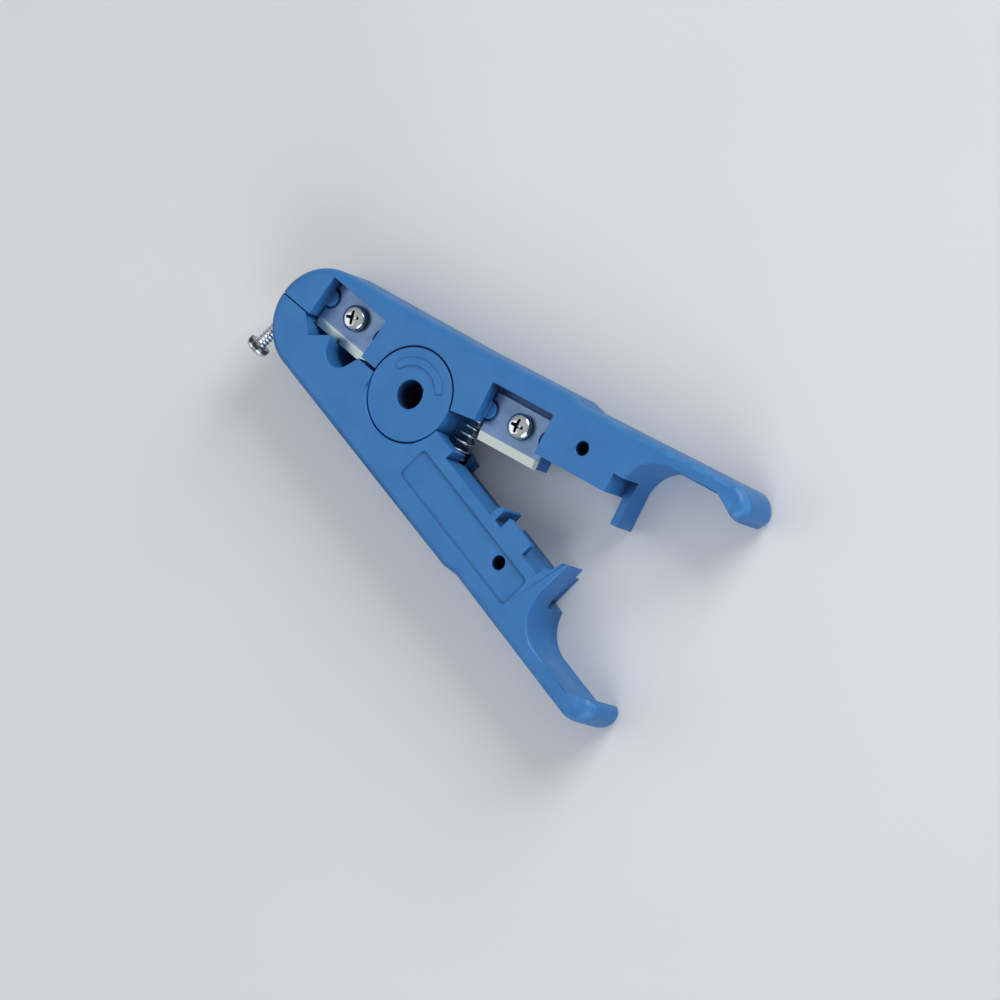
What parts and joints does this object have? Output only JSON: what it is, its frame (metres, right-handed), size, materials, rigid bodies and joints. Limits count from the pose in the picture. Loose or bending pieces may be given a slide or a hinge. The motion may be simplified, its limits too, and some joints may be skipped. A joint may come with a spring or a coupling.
{
  "type": "wire stripper",
  "caption": "Hand stripper and cutter for network and telephone cable: sprung moulded handles, notched nose, screwed blades, adjusting screw and a split finger ring.",
  "frame": {"origin": "hinge axis at the back face, in the middle of the hole through the hollow hub", "axes": "+X along the closed nose joint from the nose to the finger ring, +Y towards the handle that carries the blades, +Z along the hinge axis from the back face to the front face"},
  "size_m": [0.1198, 0.0597, 0.0143],
  "materials": {
    "blue_plastic": "moulded ABS, fine satin grain",
    "blade_steel": "ground and hardened strip",
    "screw_steel": "bright zinc or nickel plate",
    "nut_steel": "zinc plate",
    "spring_steel": "bright drawn wire"
  },
  "bodies": {
    "lower_body": {"lower_handle": "blue_plastic", "return_spring": "spring_steel"},
    "upper_body": {"upper_handle": "blue_plastic", "nose_blade": "blade_steel", "cutter_blade": "blade_steel", "nose_blade_screw": "screw_steel", "cutter_blade_screw": "screw_steel", "nose_blade_nut": "nut_steel", "cutter_blade_nut": "nut_steel"},
    "adjuster": {"adjusting_screw": "screw_steel"}
  },
  "joints": [
    {"name": "handle_hinge", "type": "hinge", "parent": "lower_body", "child": "upper_body", "pos_m": [0, 0, 0.007], "axis": [0, 0, -1], "range_deg": [0, 20.6], "stiffness_Nm_per_rad": 0.135, "springref_deg": -14.32, "deforming": ["return_spring"]},
    {"name": "adjuster_travel", "type": "slide", "parent": "lower_body", "child": "adjuster", "axis": [0.1857, 0.9826, 0], "range_m": [-0.0017, 0.0021]}
  ]
}
